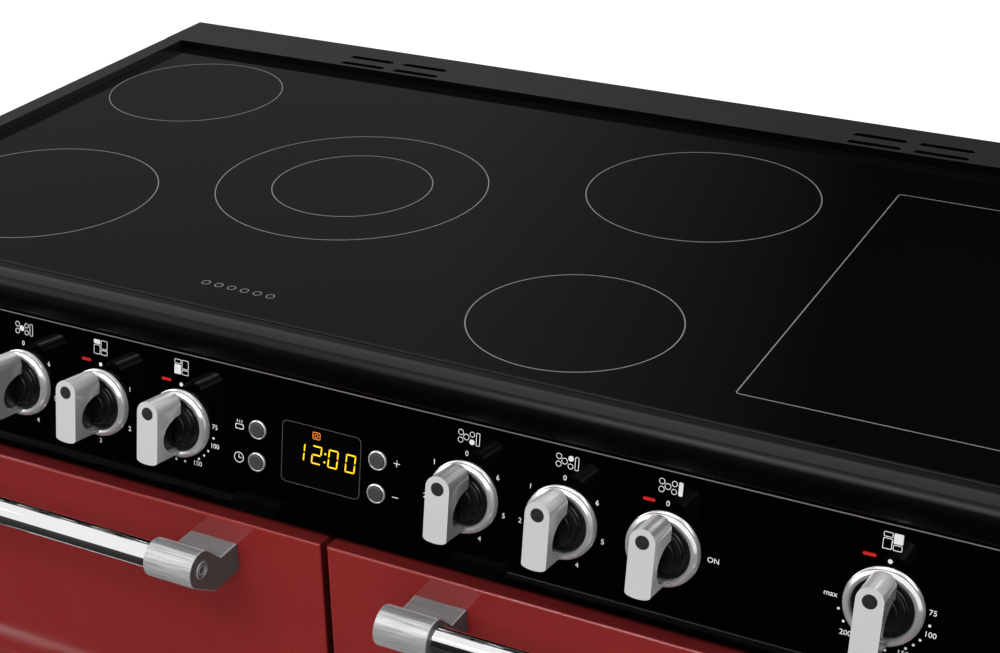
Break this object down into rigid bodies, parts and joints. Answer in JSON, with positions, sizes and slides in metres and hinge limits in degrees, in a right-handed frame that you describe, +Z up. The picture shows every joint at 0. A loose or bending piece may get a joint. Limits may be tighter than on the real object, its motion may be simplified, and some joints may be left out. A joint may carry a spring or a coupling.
{
  "type": "range cooker",
  "caption": "Free-standing electric range cooker: black ceramic hob, sloping control fascia, drop-down grill and left oven doors, a side-hung right oven door and a storage drawer.",
  "frame": {"origin": "on the floor, middle of the width and of the depth over the handles", "axes": "+X to the right of somebody in front of it, +Y to the rear, +Z up"},
  "size_m": [0.995, 0.635, 0.9],
  "materials": {
    "handle_steel": "satin",
    "hinge_steel": "plain",
    "galvanised_steel": "plain zinc coat",
    "element_steel": "dull, heat stained",
    "bright_wire": "bright",
    "chrome": "bright",
    "knob_chrome": "bright grip on a black hub",
    "button_metal": "bright",
    "ceramic_glass": "black, gloss, printed rings",
    "fascia_glass": "black, gloss, white print",
    "door_glass": "dark tint",
    "clear_glass": "clear",
    "display_lens": "dark lens",
    "red_enamel": "gloss vitreous enamel",
    "black_paint": "satin",
    "cavity_enamel": "speckled gloss enamel",
    "element_dish": "mineral insulation",
    "door_seal": "matt",
    "black_plastic": "satin"
  },
  "bodies": {
    "casing": {"hob_surround": "black_paint", "rear_vent_trim": "black_paint", "ceramic_glass": "ceramic_glass", "radiant_elements": "element_dish", "element_tray": "galvanised_steel", "side_panel_left": "black_paint", "side_panel_right": "black_paint", "back_panel": "galvanised_steel", "terminal_cover": "black_plastic", "base_frame": "galvanised_steel", "levelling_feet": "black_plastic", "plinth": "black_paint", "column_divider": "galvanised_steel", "door_seals": "door_seal", "oven_shelves": "bright_wire", "oven_elements": "element_steel", "fan_motors": "galvanised_steel", "fan_baffles": "cavity_enamel", "oven_lamps": "clear_glass", "hinge_plates": "hinge_steel", "fascia_panel": "fascia_glass", "fascia_carrier": "galvanised_steel", "switchgear": "black_plastic", "fascia_lenses": "display_lens", "grill_cavity": "cavity_enamel", "main_cavity": "cavity_enamel", "tall_cavity": "cavity_enamel", "drawer_bay": "galvanised_steel", "grill_pan": "cavity_enamel", "knob_bezels": "chrome"},
    "grill_door": {"grill_door_skin": "red_enamel", "grill_door_pan": "cavity_enamel", "grill_door_handle": "handle_steel"},
    "main_door": {"main_door_skin": "red_enamel", "main_door_pan": "cavity_enamel", "main_door_glass": "door_glass", "main_door_handle": "handle_steel"},
    "tall_door": {"tall_door_skin": "red_enamel", "tall_door_pan": "cavity_enamel", "tall_door_glass": "door_glass", "tall_door_handle": "handle_steel"},
    "storage_drawer": {"drawer_skin": "red_enamel", "drawer_box": "galvanised_steel", "drawer_handle": "handle_steel"},
    "main_fan": {"main_oven_fan": "element_steel"},
    "tall_fan": {"tall_oven_fan": "element_steel"},
    "knob_rear_left_body": {"knob_rear_left": "knob_chrome"},
    "knob_front_left_body": {"knob_front_left": "knob_chrome"},
    "knob_centre_body": {"knob_centre": "knob_chrome"},
    "knob_grill_body": {"knob_grill": "knob_chrome"},
    "knob_main_oven_body": {"knob_main_oven": "knob_chrome"},
    "knob_front_right_body": {"knob_front_right": "knob_chrome"},
    "knob_rear_right_body": {"knob_rear_right": "knob_chrome"},
    "knob_warming_body": {"knob_warming": "knob_chrome"},
    "knob_tall_oven_body": {"knob_tall_oven": "knob_chrome"},
    "button_mode_body": {"button_mode": "button_metal"},
    "button_timer_body": {"button_timer": "button_metal"},
    "button_plus_body": {"button_plus": "button_metal"},
    "button_minus_body": {"button_minus": "button_metal"}
  },
  "joints": [
    {"name": "grill_door_hinge", "type": "hinge", "parent": "casing", "child": "grill_door", "pos_m": [-0.24963, -0.2485, 0.57], "axis": [1, 0, 0], "range_deg": [0, 90]},
    {"name": "main_door_hinge", "type": "hinge", "parent": "casing", "child": "main_door", "pos_m": [-0.24963, -0.2485, 0.114], "axis": [1, 0, 0], "range_deg": [0, 90]},
    {"name": "tall_door_hinge", "type": "hinge", "parent": "casing", "child": "tall_door", "pos_m": [0.4825, -0.2485, 0.545], "axis": [0, 0, 1], "range_deg": [0, 90]},
    {"name": "storage_drawer_slide", "type": "slide", "parent": "casing", "child": "storage_drawer", "axis": [0, -1, 0], "range_m": [0, 0.35]},
    {"name": "knob_rear_left_turn", "type": "hinge", "parent": "casing", "child": "knob_rear_left_body", "pos_m": [-0.4147, -0.24006, 0.80756], "axis": [0, -0.9857, 0.1685], "range_deg": [0, 309]},
    {"name": "knob_front_left_turn", "type": "hinge", "parent": "casing", "child": "knob_front_left_body", "pos_m": [-0.3431, -0.24006, 0.80756], "axis": [0, -0.9857, 0.1685], "range_deg": [0, 309]},
    {"name": "knob_centre_turn", "type": "hinge", "parent": "casing", "child": "knob_centre_body", "pos_m": [-0.2715, -0.24006, 0.80756], "axis": [0, -0.9857, 0.1685], "range_deg": [0, 309]},
    {"name": "knob_grill_turn", "type": "hinge", "parent": "casing", "child": "knob_grill_body", "pos_m": [-0.1999, -0.24006, 0.80756], "axis": [0, -0.9857, 0.1685], "range_deg": [-252, 0]},
    {"name": "knob_main_oven_turn", "type": "hinge", "parent": "casing", "child": "knob_main_oven_body", "pos_m": [-0.1283, -0.24006, 0.80756], "axis": [0, -0.9857, 0.1685], "range_deg": [-268, 0]},
    {"name": "knob_front_right_turn", "type": "hinge", "parent": "casing", "child": "knob_front_right_body", "pos_m": [0.1018, -0.24006, 0.80756], "axis": [0, -0.9857, 0.1685], "range_deg": [0, 309]},
    {"name": "knob_rear_right_turn", "type": "hinge", "parent": "casing", "child": "knob_rear_right_body", "pos_m": [0.1734, -0.24006, 0.80756], "axis": [0, -0.9857, 0.1685], "range_deg": [0, 309]},
    {"name": "knob_warming_turn", "type": "hinge", "parent": "casing", "child": "knob_warming_body", "pos_m": [0.245, -0.24006, 0.80756], "axis": [0, -0.9857, 0.1685], "range_deg": [-90, 0]},
    {"name": "knob_tall_oven_turn", "type": "hinge", "parent": "casing", "child": "knob_tall_oven_body", "pos_m": [0.3882, -0.24006, 0.80756], "axis": [0, -0.9857, 0.1685], "range_deg": [-268, 0]},
    {"name": "button_mode_press", "type": "slide", "parent": "casing", "child": "button_mode_body", "axis": [0, 0.9857, -0.1685], "range_m": [0, 0.0015], "stiffness_N_per_m": 300},
    {"name": "button_timer_press", "type": "slide", "parent": "casing", "child": "button_timer_body", "axis": [0, 0.9857, -0.1685], "range_m": [0, 0.0015], "stiffness_N_per_m": 300},
    {"name": "button_plus_press", "type": "slide", "parent": "casing", "child": "button_plus_body", "axis": [0, 0.9857, -0.1685], "range_m": [0, 0.0015], "stiffness_N_per_m": 300},
    {"name": "button_minus_press", "type": "slide", "parent": "casing", "child": "button_minus_body", "axis": [0, 0.9857, -0.1685], "range_m": [0, 0.0015], "stiffness_N_per_m": 300},
    {"name": "main_fan_spin", "type": "hinge", "parent": "casing", "child": "main_fan", "pos_m": [-0.24963, 0.1705, 0.3225], "axis": [0, -1, 0], "continuous": true},
    {"name": "tall_fan_spin", "type": "hinge", "parent": "casing", "child": "tall_fan", "pos_m": [0.24963, 0.1705, 0.55], "axis": [0, -1, 0], "continuous": true}
  ]
}
